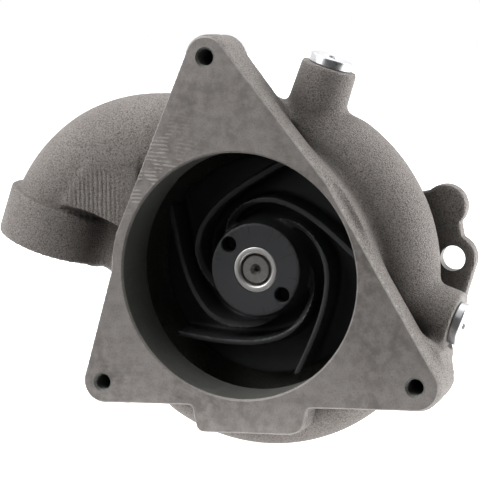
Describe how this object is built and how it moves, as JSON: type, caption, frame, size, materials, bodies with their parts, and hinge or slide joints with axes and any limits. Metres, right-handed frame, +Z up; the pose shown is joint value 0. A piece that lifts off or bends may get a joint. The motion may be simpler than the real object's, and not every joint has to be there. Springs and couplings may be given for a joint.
{
  "type": "engine coolant pump",
  "caption": "Gear-driven engine coolant pump: cast scroll body with a triangular inlet flange, curved outlet with collar, swept-blade impeller and rear mounting plate.",
  "frame": {"origin": "centre of the inlet bore on the machined flange face", "axes": "-Y out of the inlet along the shaft axis, +Z up as installed, +X to the right seen from the inlet"},
  "size_m": [0.2192, 0.1375, 0.1795],
  "materials": {
    "cast_iron": "as cast and shot blasted, machined on its faces",
    "impeller_black": "moulded, semi-matt",
    "steel": "turned and ground",
    "plated_steel": "bright zinc plated",
    "seal_rubber": "moulded",
    "seal_brass": "pressed sheet",
    "seal_face": "lapped"
  },
  "bodies": {
    "casing": {"pump_casing": "cast_iron", "top_port_plug": "plated_steel", "side_port_plug": "plated_steel", "top_plug_seal_ring": "seal_rubber", "side_plug_seal_ring": "seal_rubber", "outlet_seal_ring": "seal_rubber", "pilot_seal_ring": "seal_rubber", "seal_cup": "seal_brass", "seal_bellows": "seal_rubber", "seal_spring": "steel", "seal_carbon_ring": "seal_face", "oil_seal": "seal_rubber", "oil_seal_spring": "steel", "front_outer_race": "steel", "rear_outer_race": "steel", "bearing_retaining_ring": "steel"},
    "rotor": {"impeller": "impeller_black", "impeller_insert": "steel", "shaft": "steel", "seal_mating_ring": "seal_face", "mating_ring_rubber": "seal_rubber", "slinger": "seal_rubber", "front_inner_race": "steel", "rear_inner_race": "steel", "bearing_spacer": "steel", "drive_gear": "steel", "gear_key": "steel", "gear_washer": "steel", "gear_nut": "plated_steel"},
    "front_rolling_set": {"front_balls": "steel", "front_cage": "seal_brass"},
    "rear_rolling_set": {"rear_balls": "steel", "rear_cage": "seal_brass"}
  },
  "joints": [
    {"name": "shaft_spin", "type": "hinge", "parent": "casing", "child": "rotor", "pos_m": [0, 0, 0], "axis": [0, 1, 0], "continuous": true},
    {"name": "front_cage_spin", "type": "hinge", "parent": "casing", "child": "front_rolling_set", "pos_m": [0, 0, 0], "axis": [0, 1, 0], "continuous": true},
    {"name": "rear_cage_spin", "type": "hinge", "parent": "casing", "child": "rear_rolling_set", "pos_m": [0, 0, 0], "axis": [0, 1, 0], "continuous": true}
  ],
  "couplings": [
    {"joint": "front_cage_spin", "follows": "shaft_spin", "ratio": 0.3649},
    {"joint": "rear_cage_spin", "follows": "shaft_spin", "ratio": 0.3649}
  ]
}
